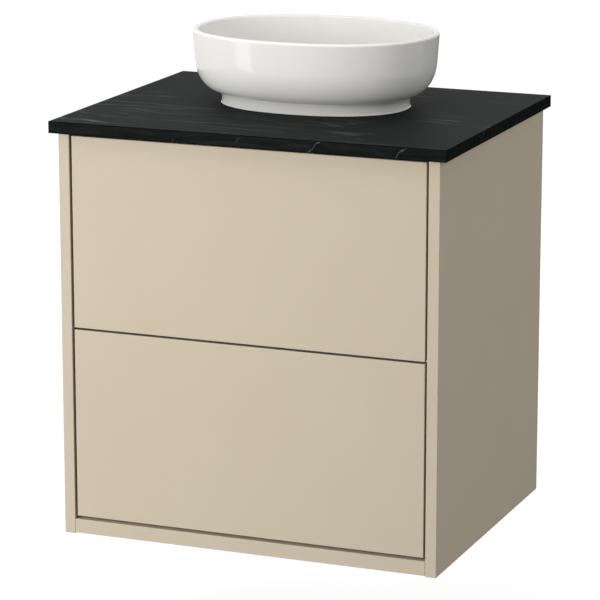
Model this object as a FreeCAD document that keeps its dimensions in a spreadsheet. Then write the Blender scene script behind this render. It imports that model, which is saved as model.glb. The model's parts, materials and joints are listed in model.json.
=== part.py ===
import FreeCAD, Part
import math
import os
import re
import Sketcher
from FreeCAD import Rotation, Vector

# Wall-hung vanity unit: a cabinet with two push-to-open drawers, a worktop and a countertop basin.
# X runs to the right, Y runs back to the wall and Z runs up. The origin is under the middle of the unit.

# Driving dimensions in millimetres. A name that ends in share is a plain ratio.
DIMENSIONS = {
    # Worktop
    "top_width": 620.0,
    "top_depth": 490.0,
    "top_thick": 18.0,
    "top_side_overhang": 12.0,
    "top_front_overhang": 9.0,
    "top_ease": 1.0,
    # Carcass panels and rails
    "cab_height": 616.0,
    "side_thick": 17.0,
    "bottom_thick": 21.5,
    "bottom_lift": 1.5,
    "rail_thick": 16.0,
    "front_rail_width": 80.0,
    "front_rail_clear": 6.0,
    "top_back_rail_height": 120.0,
    "lower_back_rail_height": 80.0,
    "panel_ease": 0.8,
    # Drawer fronts and the gaps around them
    "front_thick": 18.0,
    "front_recess": 1.5,
    "front_side_gap": 3.3,
    "low_gap": 5.0,
    "mid_gap": 3.0,
    "top_gap": 3.5,
    "front_ease": 1.2,
    # Drawer boxes
    "box_rise": 20.0,
    "box_headroom": 120.0,
    "box_board": 12.0,
    "box_ease": 0.6,
    "base_thick": 6.0,
    "base_lift": 10.0,
    "groove_depth": 6.0,
    "groove_clear": 0.1,
    "box_back_clear": 5.6,
    # Ball-bearing drawer runners
    "slide_thick": 12.7,
    "slide_height": 45.0,
    "slide_steel": 1.2,
    "slide_rise": 60.0,
    "slide_inset": 4.0,
    "web_gap": 1.0,
    "flange_clear": 0.3,
    "ball_dia": 4.0,
    "ball_clear": 0.1,
    "ball_pitch": 16.0,
    "cage_thick": 1.0,
    "cage_clear": 0.25,
    # Push-to-open latches
    "latch_width": 28.0,
    "latch_height": 22.0,
    "latch_front_gap": 8.0,
    "latch_back_gap": 1.0,
    "latch_wall": 3.0,
    "plunger_dia": 8.0,
    "plunger_clear": 0.3,
    "plunger_gap": 2.8,
    "peg_dia": 5.0,
    "peg_length": 8.0,
    # Dowels and cam fittings of the carcass
    "dowel_dia": 8.0,
    "dowel_length": 30.0,
    "dowel_in_side": 11.0,
    "dowel_inset": 40.0,
    "rail_dowel_inset": 20.0,
    "cam_inset": 90.0,
    "cam_depth": 8.0,
    "cam_reach": 24.0,
    "cam_dia": 15.0,
    "cam_thick": 12.0,
    "cam_slot": 7.6,
    "cam_bolt_dia": 6.0,
    "cam_bolt_in_side": 10.0,
    "cam_neck_dia": 4.6,
    "cam_head_dia": 6.8,
    "cam_head_length": 3.0,
    "cam_hole_dia": 8.0,
    "fit_clear": 0.05,
    "end_clear": 0.5,
    # Screws
    "screw_dia": 3.0,
    "screw_head_dia": 6.0,
    "screw_in_side": 11.0,
    "screw_in_box": 9.0,
    "box_screw_dia": 3.6,
    "box_screw_head_dia": 7.2,
    "box_screw_head": 2.2,
    "box_screw_length": 38.0,
    "box_screw_inset": 26.0,
    "front_screw_dia": 4.0,
    "front_screw_head_dia": 8.0,
    "front_screw_head": 2.4,
    "front_screw_bite": 12.0,
    "front_screw_inset": 60.0,
    "slide_screw_inset": 34.0,
    "recess_width": 0.9,
    "recess_share": 0.6,
    # Hanging brackets on the top back rail
    "bracket_width": 60.0,
    "bracket_height": 80.0,
    "bracket_reach": 40.0,
    "bracket_steel": 2.0,
    "bracket_inset": 60.0,
    "wall_hole_dia": 8.0,
    "upper_wall_hole_drop": 56.0,
    # Basin
    "basin_width": 378.0,
    "basin_depth": 294.0,
    "basin_height": 114.0,
    "basin_back": 42.0,
    "basin_wall": 9.0,
    "basin_square_share": 0.1,
    "basin_draft": 3.2,
    "rim_land": 1.0,
    "corner_reach": 50.0,
    "corner_rise": 44.5,
    "bowl_radius": 38.0,
    "bowl_floor": 26.0,
    "bowl_fall": 1.5,
    "bowl_flat_inset": 90.0,
    "floor_thick": 12.0,
    "foot_height": 16.5,
    "foot_inset": 43.0,
    "foot_flare": 1.2,
    "foot_wall": 12.0,
    # Basin waste
    "waste_dia": 41.9,
    "waste_wall": 3.5,
    "waste_hole_dia": 45.0,
    "waste_drop": 32.0,
    "flange_dia": 63.0,
    "flange_thick": 2.5,
    "flange_recess": 2.5,
    "flange_side_clear": 0.6,
    "mouth_depth": 5.0,
    "seal_thick": 1.5,
    "washer_thick": 3.5,
    "washer_dia": 64.0,
    "nut_thick": 12.0,
    "nut_dia": 60.0,
    "plug_dia": 38.0,
    "plug_clear": 0.4,
    "plug_thick": 5.5,
    "plug_chamfer": 1.0,
    "stem_dia": 8.0,
    "stem_clear": 0.3,
    "stem_tail": 12.0,
    "guide_height": 25.0,
    "guide_length": 14.0,
    "guide_dia": 14.0,
    "arm_width": 3.0,
    "arm_height": 8.0,
    # Trap
    "pipe_dia": 34.0,
    "pipe_wall": 2.0,
    "pipe_stub": 12.0,
    "bend_radius": 36.0,
    "pipe_fit": 0.15,
    "collar_dia": 41.0,
    "collar_thick": 3.0,
    "inlet_nut_dia": 54.0,
    "inlet_nut_lip": 3.5,
    "inlet_nut_cover": 9.0,
    "pipe_nut_dia": 47.0,
    "pipe_nut_length": 20.0,
    "pipe_union_share": 0.5,
    "bottle_dia": 46.0,
    "bottle_wall_gap": 12.6,
    "bottle_ring_wall": 4.4,
    "bottle_ring_height": 18.0,
    "bottle_wall": 2.5,
    "bottle_drop": 34.0,
    "bottle_body_height": 62.0,
    "bottle_cup_height": 70.0,
    "dip_clear": 25.0,
    "outlet_dia": 32.0,
    "outlet_length": 21.0,
    "outlet_boss_gap": 12.0,
    "spigot_step": 1.0,
    # Length by which every cutting tool runs past the face it opens
    "overrun": 2.0,
}

# Positions and sizes that follow from the driving dimensions
DERIVED = {
    "wall_y": "top_depth / 2",
    "top_z": "cab_height + top_thick",
    "cab_front": "top_front_overhang - top_depth / 2",
    "cab_depth": "top_depth - top_front_overhang",
    "cab_half": "top_width / 2 - top_side_overhang",
    "inner_half": "cab_half - side_thick",
    "floor_z": "bottom_lift + bottom_thick",
    "front_height": "(cab_height - floor_z - low_gap - mid_gap - top_gap) / 2",
    "front_half": "inner_half - front_side_gap",
    "front_back": "cab_front + front_recess + front_thick",
    "lower_front_z": "floor_z + low_gap",
    "upper_front_z": "lower_front_z + front_height + mid_gap",
    "rail_front": "front_back + front_rail_clear",
    "back_rail_front": "wall_y - rail_thick",
    "top_back_rail_z": "cab_height - top_back_rail_height",
    "box_height": "front_height - box_rise - box_headroom",
    "lower_box_z": "lower_front_z + box_rise",
    "upper_box_z": "upper_front_z + box_rise",
    "box_half": "inner_half - slide_thick",
    "box_inner_half": "box_half - box_board",
    "bottle_ring_dia": "bottle_dia + 2 * bottle_ring_wall",
    "bottle_y": "wall_y - bottle_wall_gap - bottle_ring_dia / 2",
    "box_back": "bottle_y - bottle_ring_dia / 2 - box_back_clear",
    "box_depth": "box_back - front_back",
    "slide_front": "front_back + slide_inset",
    "slide_length": "box_depth - 2 * slide_inset",
    "lower_slide_z": "lower_box_z + slide_rise - slide_height / 2",
    "upper_slide_z": "upper_box_z + slide_rise - slide_height / 2",
    "race": "ball_dia + 2 * ball_clear",
    "cabinet_flange": "slide_thick - slide_steel - web_gap",
    "middle_web": "slide_steel + web_gap",
    "middle_flange": "slide_thick - slide_steel - flange_clear",
    "middle_low": "slide_steel + race",
    "drawer_flange": "2 * middle_web",
    "drawer_low": "middle_low + slide_steel + race",
    "ball_across": "drawer_flange + ball_dia / 2 + web_gap / 2",
    "latch_front": "box_back + latch_front_gap",
    "latch_back": "back_rail_front - latch_back_gap",
    "plunger_tip": "box_back + plunger_gap",
    "plunger_length": "latch_back - latch_wall - plunger_tip",
    "latch_rise": "box_height / 2",
    "bracket_half": "inner_half - bracket_inset",
    "upper_wall_hole_z": "cab_height - upper_wall_hole_drop",
    "lower_wall_hole_z": "floor_z + lower_back_rail_height / 2",
    "bowl_flat_z": "top_z + bowl_floor - bowl_fall",
    "seal_z": "bowl_flat_z - flange_recess",
    "flange_z": "seal_z + seal_thick",
    "waste_end_z": "cab_height - waste_drop",
    "waste_rise": "flange_z - waste_end_z",
    "seat_rise": "waste_rise + flange_thick - mouth_depth",
    "stem_length": "seat_rise - guide_height + stem_tail",
    "bend_z": "waste_end_z - pipe_stub",
    "pipe_z": "bend_z - bend_radius",
    "pipe_y": "basin_back + bend_radius",
    "pipe_end_y": "bottle_y - bend_radius",
    "union_y": "pipe_y + (pipe_end_y - pipe_y) * pipe_union_share",
    "bottle_top_z": "pipe_z - bend_radius - bottle_drop",
    "bottle_seam_z": "bottle_top_z - bottle_body_height",
    "cup_z": "bottle_seam_z - bottle_cup_height",
    "dip_z": "cup_z + dip_clear",
}

BALLS_PER_ROW = 5
OUTLINE_POINTS = 24
NAME = re.compile("[a-z][a-z_0-9]*")
AXES = {"x": Vector(1, 0, 0), "y": Vector(0, 1, 0), "z": Vector(0, 0, 1)}

doc = FreeCAD.newDocument("vanity_unit")
dims = doc.addObject("Spreadsheet::Sheet", "dims")
derived = doc.addObject("Spreadsheet::Sheet", "derived")
nodes = {}


def formula(text, own_sheet=False):
    """Point every dimension's name in a formula at its cell."""
    def cell(match):
        word = match.group(0)
        if word in DIMENSIONS:
            return "dims." + word
        if word in DERIVED and not own_sheet:
            return "derived." + word
        return word
    return NAME.sub(cell, text)


def value(text):
    """The number that a formula gives now."""
    return float(dims.evalExpression(formula(text)))


def point(place):
    """The point that three formulas give now."""
    return Vector(*[value(text) for text in place])


def fill_sheets():
    """Write the driving numbers and the formulas that follow from them."""
    for row, (alias, number) in enumerate(DIMENSIONS.items(), 1):
        dims.set("A%d" % row, str(number))
        dims.setAlias("A%d" % row, alias)
    doc.recompute()
    for row, (alias, text) in enumerate(DERIVED.items(), 1):
        derived.setAlias("A%d" % row, alias)
        derived.set("A%d" % row, "=" + formula(text, own_sheet=True))
    doc.recompute()


def bind(item, sizes, place):
    """Bind an object's sizes and its position to formulas."""
    for name, text in sizes.items():
        item.setExpression(name, formula(text))
    for axis, text in zip("xyz", place):
        item.setExpression("Placement.Base." + axis, formula(text))
    return item


def keep(label, item):
    """Name a finished sub-part and list it for writing."""
    item.Label = label
    nodes[label] = item
    return item


def box(label, size, corner):
    item = doc.addObject("Part::Box", label)
    return bind(item, dict(zip(("Length", "Width", "Height"), size)), corner)


def cylinder(label, radius, length, base, axis):
    item = doc.addObject("Part::Cylinder", label)
    item.Placement.Rotation = Rotation(AXES["z"], AXES[axis])
    return bind(item, {"Radius": radius, "Height": length}, base)


def cone(label, first_radius, last_radius, length, base, axis):
    item = doc.addObject("Part::Cone", label)
    item.Placement.Rotation = Rotation(AXES["z"], AXES[axis])
    return bind(item, {"Radius1": first_radius, "Radius2": last_radius, "Height": length}, base)


def prism(label, sides, circumradius, length, base, axis):
    item = doc.addObject("Part::Prism", label)
    item.Polygon = sides
    item.Placement.Rotation = Rotation(AXES["z"], AXES[axis])
    return bind(item, {"Circumradius": circumradius, "Height": length}, base)


def compound(label, items):
    item = doc.addObject("Part::Compound", label)
    item.Links = items
    return item


def fuse(label, items):
    item = doc.addObject("Part::MultiFuse", label)
    item.Shapes = items
    return item


def cut(label, base, tools):
    item = doc.addObject("Part::Cut", label)
    item.Base = base
    item.Tool = tools[0] if len(tools) == 1 else compound(label + "_tools", tools)
    return item


def mirror(label, source):
    """The same piece on the other side of the unit's middle plane."""
    item = doc.addObject("Part::Mirroring", label)
    item.Source = source
    item.Normal = AXES["x"]
    return item


def both_sides(label, left_items):
    """Left-hand pieces together with their mirrored right-hand pieces."""
    left = compound(label + "_left", left_items)
    return compound(label, [left, mirror(label + "_right", left)])


def outline_body(label, plane, outline):
    """A body with one closed sketch whose every corner is bound to a pair of formulas."""
    body = doc.addObject("PartDesign::Body", label + "_body")
    sketch = body.newObject("Sketcher::SketchObject", label + "_outline")
    origin_plane = next(item for item in body.Origin.OriginFeatures if item.Role == plane)
    sketch.AttachmentSupport = (origin_plane, "")
    sketch.MapMode = "FlatFace"
    count = len(outline)
    corners = [Vector(value(across), value(along), 0) for across, along in outline]
    for index in range(count):
        sketch.addGeometry(Part.LineSegment(corners[index], corners[(index + 1) % count]))
    for index in range(count):
        sketch.addConstraint(Sketcher.Constraint("Coincident", index, 2, (index + 1) % count, 1))
    for index, texts in enumerate(outline):
        now = (corners[index].x, corners[index].y)
        for kind, zero_line, text, number in zip(("DistanceX", "DistanceY"), (-2, -1), texts, now):
            if text == "0":
                sketch.addConstraint(Sketcher.Constraint("PointOnObject", index, 1, zero_line))
                continue
            number_in_list = sketch.addConstraint(Sketcher.Constraint(kind, -1, 1, index, 1, number))
            name = "%s_%d" % (kind, index)
            sketch.renameConstraint(number_in_list, name)
            sketch.setExpression("Constraints." + name, formula(text))
    return body, sketch


def extrusion(label, plane, outline, length, corner):
    """A sketch padded along the plane's own direction, away from the viewer for an upright plane."""
    body, sketch = outline_body(label, plane, outline)
    pad = body.newObject("PartDesign::Pad", label + "_pad")
    pad.Profile = sketch
    pad.Reversed = plane == "XZ_Plane"
    pad.setExpression("Length", formula(length))
    return bind(body, {}, corner)


def board(label, size, corner, ease):
    """A rectangular panel with all its edges eased."""
    wide, deep, high = size
    outline = [("0", "0"), (wide, "0"), (wide, deep), ("0", deep)]
    body = extrusion(label, "XY_Plane", outline, high, corner)
    doc.recompute()
    pad = body.Tip
    rounding = body.newObject("PartDesign::Fillet", label + "_ease")
    rounding.Base = (pad, ["Edge%d" % (index + 1) for index in range(len(pad.Shape.Edges))])
    rounding.setExpression("Radius", formula(ease))
    return body


def turned(label, outline, base):
    """A body of revolution about the upright axis, from radius and height pairs."""
    body, sketch = outline_body(label, "XZ_Plane", outline)
    revolution = body.newObject("PartDesign::Revolution", label + "_turn")
    revolution.Profile = sketch
    revolution.ReferenceAxis = (sketch, ["V_Axis"])
    return bind(body, {}, base)


def ring(label, outer, inner, length, base):
    """A plain ring or tube standing on its base."""
    return turned(label, [(inner, "0"), (outer, "0"), (outer, length), (inner, length)], base)


# Carcass boards that run between the sides, with the places of their end joints.
# Each joint is the height or depth at which a dowel or a cam bolt enters the side panels.
CARCASS_BOARDS = {
    "bottom_panel": {
        "size": ("2 * inner_half", "cab_depth", "bottom_thick"),
        "corner": ("-inner_half", "cab_front", "bottom_lift"),
        "cam_axis": "z",
        "dowels": ["cab_front + dowel_inset", "wall_y - dowel_inset"],
        "cams": ["cab_front + cam_inset", "wall_y - cam_inset"],
    },
    "top_front_rail": {
        "size": ("2 * inner_half", "front_rail_width", "rail_thick"),
        "corner": ("-inner_half", "rail_front", "cab_height - rail_thick"),
        "cam_axis": "z",
        "dowels": ["rail_front + rail_dowel_inset"],
        "cams": ["rail_front + front_rail_width - rail_dowel_inset"],
    },
    "top_back_rail": {
        "size": ("2 * inner_half", "rail_thick", "top_back_rail_height"),
        "corner": ("-inner_half", "back_rail_front", "top_back_rail_z"),
        "cam_axis": "y",
        "dowels": ["cab_height - rail_dowel_inset"],
        "cams": ["top_back_rail_z + rail_dowel_inset"],
    },
    "lower_back_rail": {
        "size": ("2 * inner_half", "rail_thick", "lower_back_rail_height"),
        "corner": ("-inner_half", "back_rail_front", "floor_z"),
        "cam_axis": "y",
        "dowels": ["floor_z + rail_dowel_inset"],
        "cams": ["floor_z + lower_back_rail_height - rail_dowel_inset"],
    },
}
LEVELS = ("upper", "lower")
# Depths of the screws along each runner and of the pegs along each latch
SLIDE_SCREWS = ("slide_front + slide_screw_inset", "slide_front + slide_length / 2",
                "slide_front + slide_length - slide_screw_inset")
LATCH_PEGS = ("latch_front + (latch_back - latch_front) / 4",
              "latch_back - (latch_back - latch_front) / 4")
# Where screws go up into the worktop: through the front rail, and through the hanging brackets
RAIL_SCREWS = [(sign + "bracket_half", "rail_front + front_rail_width / 2") for sign in ("-", "")]
BRACKET_SCREWS = [(sign + "bracket_half", "back_rail_front - bracket_reach / 2") for sign in ("-", "")]


def joint_place(entry, along):
    """Depth and height of a joint: one is along the board, the other lies in its thickness."""
    if entry["cam_axis"] == "z":
        return along, entry["corner"][2] + " + cam_depth"
    return entry["corner"][1] + " + cam_depth", along


def cam_cylinder(label, entry, along, radius, length, start="0"):
    """A cylinder about the axis of a left-hand cam lock, measured from the board's open face."""
    across = "cam_reach - inner_half"
    if entry["cam_axis"] == "z":
        return cylinder(label, radius, length, (across, along, entry["corner"][2] + " + " + start), "z")
    return cylinder(label, radius, length, (across, entry["corner"][1] + " + " + start, along), "y")


def make_carcass():
    """Side panels, bottom, rails, and the dowels and cam fittings that join them."""
    dowels, bolts, locks, side_holes = [], [], [], []
    for label, entry in CARCASS_BOARDS.items():
        tools = []
        for number, along in enumerate(entry["dowels"]):
            name = "%s_dowel_%d" % (label, number)
            deep, high = joint_place(entry, along)
            dowels.append(cylinder(name, "dowel_dia / 2", "dowel_length",
                                   ("-inner_half - dowel_in_side", deep, high), "x"))
            hole = "dowel_dia / 2 + fit_clear"
            side_holes.append(cylinder(name + "_side", hole, "dowel_in_side + end_clear + overrun",
                                       ("-inner_half - dowel_in_side - end_clear", deep, high), "x"))
            tools.append(cylinder(name + "_end", hole, "dowel_length - dowel_in_side + end_clear + overrun",
                                  ("-inner_half - overrun", deep, high), "x"))
        for number, along in enumerate(entry["cams"]):
            name = "%s_cam_%d" % (label, number)
            deep, high = joint_place(entry, along)
            start = ("-inner_half - cam_bolt_in_side", deep, high)
            neck = cylinder(name + "_neck", "cam_neck_dia / 2", "cam_bolt_in_side + cam_reach", start, "x")
            thread = cylinder(name + "_thread", "cam_bolt_dia / 2", "cam_bolt_in_side", start, "x")
            head = cylinder(name + "_head", "cam_head_dia / 2", "cam_head_length",
                            ("cam_reach - inner_half - cam_head_length / 2", deep, high), "x")
            bolts.append(fuse(name + "_bolt", [neck, thread, head]))
            side_holes.append(cylinder(name + "_side", "cam_bolt_dia / 2 + fit_clear",
                                       "cam_bolt_in_side + end_clear + overrun",
                                       ("-inner_half - cam_bolt_in_side - end_clear", deep, high), "x"))
            tools.append(cylinder(name + "_end", "cam_hole_dia / 2", "cam_reach + overrun",
                                  ("-inner_half - overrun", deep, high), "x"))
            tools.append(cam_cylinder(name + "_pocket", entry, along, "cam_dia / 2 + fit_clear",
                                      "cam_thick + end_clear + overrun", "0 - overrun"))
            disc = cam_cylinder(name + "_disc", entry, along, "cam_dia / 2", "cam_thick")
            slot = box(name + "_slot", ("cam_dia / 2 + cam_slot / 2 + overrun", "cam_slot", "cam_slot"),
                       ("cam_reach - inner_half - cam_dia / 2 - overrun", deep + " - cam_slot / 2",
                        high + " - cam_slot / 2"))
            locks.append(cut(name + "_lock", disc, [slot]))
        blank = board(label + "_blank", entry["size"], entry["corner"], "panel_ease")
        holes = [both_sides(label + "_ends", tools)]
        if label == "top_front_rail":
            holes += [cylinder("rail_screw_hole_%d" % number, "front_screw_dia / 2 + fit_clear",
                               "rail_thick + 2 * overrun",
                               (across, deep, "cab_height - rail_thick - overrun"), "z")
                      for number, (across, deep) in enumerate(RAIL_SCREWS)]
        if entry["cam_axis"] == "y":
            high = "upper_wall_hole_z" if label == "top_back_rail" else "lower_wall_hole_z"
            holes += [cylinder("%s_wall_hole_%d" % (label, number), "wall_hole_dia / 2",
                               "rail_thick + 2 * overrun", (across, "back_rail_front - overrun", high), "y")
                      for number, across in enumerate(("bracket_half", "-bracket_half"))]
        keep(label, cut(label, blank, holes))
    for level in LEVELS:
        for number, deep in enumerate(SLIDE_SCREWS):
            side_holes.append(cylinder("%s_slide_pilot_%d" % (level, number), "screw_dia / 2 + fit_clear",
                                       "screw_in_side + end_clear + overrun",
                                       ("-inner_half - screw_in_side - end_clear", deep,
                                        level + "_slide_z + slide_height / 2"), "x"))
        for number, deep in enumerate(LATCH_PEGS):
            side_holes.append(cylinder("%s_peg_hole_%d" % (level, number), "peg_dia / 2 + fit_clear",
                                       "peg_length + end_clear + overrun",
                                       ("-inner_half - peg_length - end_clear", deep,
                                        level + "_box_z + latch_rise"), "x"))
    blank = board("side_blank", ("side_thick", "cab_depth", "cab_height"),
                  ("-cab_half", "cab_front", "0"), "panel_ease")
    left = keep("left_side_panel", cut("left_side_panel", blank, side_holes))
    keep("right_side_panel", mirror("right_side_panel", left))
    keep("carcass_dowels", both_sides("carcass_dowels", dowels))
    keep("cam_bolts", both_sides("cam_bolts", bolts))
    keep("cam_locks", both_sides("cam_locks", locks))


def screw(head_radius, head_length, shank_radius, length, sunk):
    """A screw pointing along +Z: a sunk head starts at zero, a raised head ends at zero."""
    if sunk:
        side = [(0, 0), (head_radius, 0), (shank_radius, head_length), (shank_radius, length), (0, length)]
        top = 0
    else:
        side = [(0, -head_length), (head_radius, -head_length), (head_radius, 0), (shank_radius, 0),
                (shank_radius, length), (0, length)]
        top = -head_length
    profile = Part.makePolygon([Vector(radius, 0, high) for radius, high in side + side[:1]])
    body = Part.Face(profile).revolve(Vector(0, 0, 0), AXES["z"], 360)
    wide = value("recess_width")
    reach = head_radius * value("recess_share")
    deep = head_length * value("recess_share")
    for long_side, short_side in ((reach, wide), (wide, reach)):
        slot = Part.makeBox(2 * long_side, 2 * short_side, deep, Vector(-long_side, -short_side, top))
        body = body.cut(slot)
    return body


def screw_group(label, placed):
    """Copies of screws, each set at a place and turned to a direction."""
    copies = []
    for body, place, direction in placed:
        copy = body.copy()
        copy.Placement = FreeCAD.Placement(point(place), Rotation(AXES["z"], direction))
        copies.append(copy)
    group = doc.addObject("Part::Feature", label)
    group.Shape = Part.makeCompound(copies)
    group.Placement = FreeCAD.Placement()
    return keep(label, group)


def make_worktop():
    """Worktop with its waste hole, the screws that hold it and the wall brackets behind."""
    blank = board("worktop_blank", ("top_width", "top_depth", "top_thick"),
                  ("-top_width / 2", "-top_depth / 2", "cab_height"), "top_ease")
    holes = [cylinder("worktop_waste_hole", "waste_hole_dia / 2", "top_thick + 2 * overrun",
                      ("0", "basin_back", "cab_height - overrun"), "z")]
    for number, place in enumerate(RAIL_SCREWS + BRACKET_SCREWS):
        holes.append(cylinder("worktop_pilot_%d" % number, "front_screw_dia / 2 + fit_clear",
                              "front_screw_bite + end_clear + overrun",
                              place + ("cab_height - overrun",), "z"))
    keep("worktop", cut("worktop", blank, holes))
    upright = box("bracket_upright", ("bracket_width", "bracket_steel", "bracket_height"),
                  ("-bracket_half - bracket_width / 2", "back_rail_front - bracket_steel",
                   "cab_height - bracket_height"))
    level = box("bracket_level", ("bracket_width", "bracket_reach", "bracket_steel"),
                ("-bracket_half - bracket_width / 2", "back_rail_front - bracket_reach",
                 "cab_height - bracket_steel"))
    wall_hole = cylinder("bracket_wall_hole", "wall_hole_dia / 2", "bracket_steel + 2 * overrun",
                         ("-bracket_half", "back_rail_front - bracket_steel - overrun",
                          "upper_wall_hole_z"), "y")
    top_hole = cylinder("bracket_top_hole", "front_screw_dia / 2 + fit_clear",
                        "bracket_steel + 2 * overrun",
                        BRACKET_SCREWS[0] + ("cab_height - bracket_steel - overrun",), "z")
    bracket = cut("left_bracket", fuse("bracket_plates", [upright, level]), [wall_hole, top_hole])
    keep("hanging_brackets", both_sides("hanging_brackets", [bracket]))
    shape = [value("front_screw_head_dia / 2"), value("front_screw_head"), value("front_screw_dia / 2")]
    long_screw = screw(*shape, value("rail_thick + front_screw_bite"), False)
    short_screw = screw(*shape, value("bracket_steel + front_screw_bite"), False)
    placed = [(long_screw, place + ("cab_height - rail_thick",), AXES["z"]) for place in RAIL_SCREWS]
    placed += [(short_screw, place + ("cab_height - bracket_steel",), AXES["z"])
               for place in BRACKET_SCREWS]
    screw_group("worktop_screws", placed)


def rail_profile(first_web, flange_end, low):
    """Channel section open towards the drawer, from the runner's foot line."""
    high = "slide_height - " + low
    inner = first_web + " + slide_steel"
    return [(first_web, low), (flange_end, low), (flange_end, low + " + slide_steel"),
            (inner, low + " + slide_steel"), (inner, high + " - slide_steel"),
            (flange_end, high + " - slide_steel"), (flange_end, high), (first_web, high)]


def ball_cage(label, web, flange_end, middle, corner):
    """A bent strip that holds two rows of balls in the space between two nested rails."""
    low = middle + " - cage_thick / 2"
    low_top = middle + " + cage_thick / 2"
    high = "slide_height - " + middle + " + cage_thick / 2"
    high_under = "slide_height - " + middle + " - cage_thick / 2"
    inner = web + " + web_gap - 2 * cage_clear"
    outline = [(web, low), (flange_end, low), (flange_end, low_top), (inner, low_top),
               (inner, high_under), (flange_end, high_under), (flange_end, high), (web, high)]
    length = "%d * ball_pitch" % BALLS_PER_ROW
    across, front, foot = corner
    start = front + " + (slide_length - %s) / 2" % length
    strip = extrusion(label + "_strip", "XZ_Plane", outline, length, (across, start, foot))
    holes, balls = [], []
    for row, rise in enumerate((middle, "slide_height - " + middle)):
        for number in range(BALLS_PER_ROW):
            name = "%s_%d_%d" % (label, row, number)
            deep = start + " + ball_pitch * (%d + 1 / 2)" % number
            high = foot + " + " + rise
            holes.append(cylinder(name + "_hole", "ball_dia / 2 + cage_clear", "cage_thick + 2 * overrun",
                                  (across + " + ball_across", deep,
                                   high + " - cage_thick / 2 - overrun"), "z"))
            ball = doc.addObject("Part::Sphere", name + "_ball")
            balls.append(bind(ball, {"Radius": "ball_dia / 2"}, (across + " + ball_across", deep, high)))
    return [cut(label + "_punched", strip, holes)] + balls


def make_runners():
    """Three nested rails and two ball cages for each side of each drawer."""
    placed = []
    sunk = screw(value("screw_head_dia / 2"), value("slide_steel"), value("screw_dia / 2"),
                 value("slide_steel + screw_in_side"), True)
    for level in LEVELS:
        foot = level + "_slide_z"
        middle_height = foot + " + slide_height / 2"
        corner = ("-inner_half", "slide_front", foot)
        cabinet = extrusion(level + "_cabinet_rail", "XZ_Plane",
                            [("0", "0"), ("cabinet_flange", "0"), ("cabinet_flange", "slide_steel"),
                             ("slide_steel", "slide_steel"), ("slide_steel", "slide_height - slide_steel"),
                             ("cabinet_flange", "slide_height - slide_steel"),
                             ("cabinet_flange", "slide_height"), ("0", "slide_height")],
                            "slide_length", corner)
        sinks = [cone("%s_cabinet_sink_%d" % (level, number), "screw_dia / 2 + fit_clear",
                      "screw_head_dia / 2 + fit_clear", "slide_steel",
                      ("-inner_half", deep, middle_height), "x")
                 for number, deep in enumerate(SLIDE_SCREWS)]
        label = level + "_left_cabinet_rail"
        left = keep(label, cut(label, cabinet, sinks))
        keep(level + "_right_cabinet_rail", mirror(level + "_right_cabinet_rail", left))
        label = level + "_left_middle_rail"
        middle = extrusion(label, "XZ_Plane", rail_profile("middle_web", "middle_flange", "middle_low"),
                           "slide_length", corner)
        keep(label, middle)
        keep(level + "_right_middle_rail", mirror(level + "_right_middle_rail", middle))
        high = "slide_height - drawer_low"
        drawer = extrusion(level + "_drawer_rail", "XZ_Plane",
                           [("drawer_flange", "drawer_low"), ("slide_thick", "drawer_low"),
                            ("slide_thick", high), ("drawer_flange", high),
                            ("drawer_flange", high + " - slide_steel"),
                            ("slide_thick - slide_steel", high + " - slide_steel"),
                            ("slide_thick - slide_steel", "drawer_low + slide_steel"),
                            ("drawer_flange", "drawer_low + slide_steel")],
                           "slide_length", corner)
        sinks = [cone("%s_drawer_sink_%d" % (level, number), "screw_head_dia / 2 + fit_clear",
                      "screw_dia / 2 + fit_clear", "slide_steel",
                      ("-box_half - slide_steel", deep, middle_height), "x")
                 for number, deep in enumerate(SLIDE_SCREWS)]
        label = level + "_left_drawer_rail"
        left = keep(label, cut(label, drawer, sinks))
        keep(level + "_right_drawer_rail", mirror(level + "_right_drawer_rail", left))
        outer = ball_cage(level + "_outer_cage", "slide_steel + cage_clear",
                          "cabinet_flange - flange_clear", "(slide_steel + race / 2)", corner)
        keep(level + "_outer_cages", both_sides(level + "_outer_cages", outer))
        inner = ball_cage(level + "_inner_cage", "middle_web + slide_steel + cage_clear",
                          "middle_flange - web_gap", "(middle_low + slide_steel + race / 2)", corner)
        keep(level + "_inner_cages", both_sides(level + "_inner_cages", inner))
        for deep in SLIDE_SCREWS:
            placed.append((sunk, ("slide_steel - inner_half", deep, middle_height), -AXES["x"]))
            placed.append((sunk, ("inner_half - slide_steel", deep, middle_height), AXES["x"]))
    screw_group("runner_screws", placed)


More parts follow.
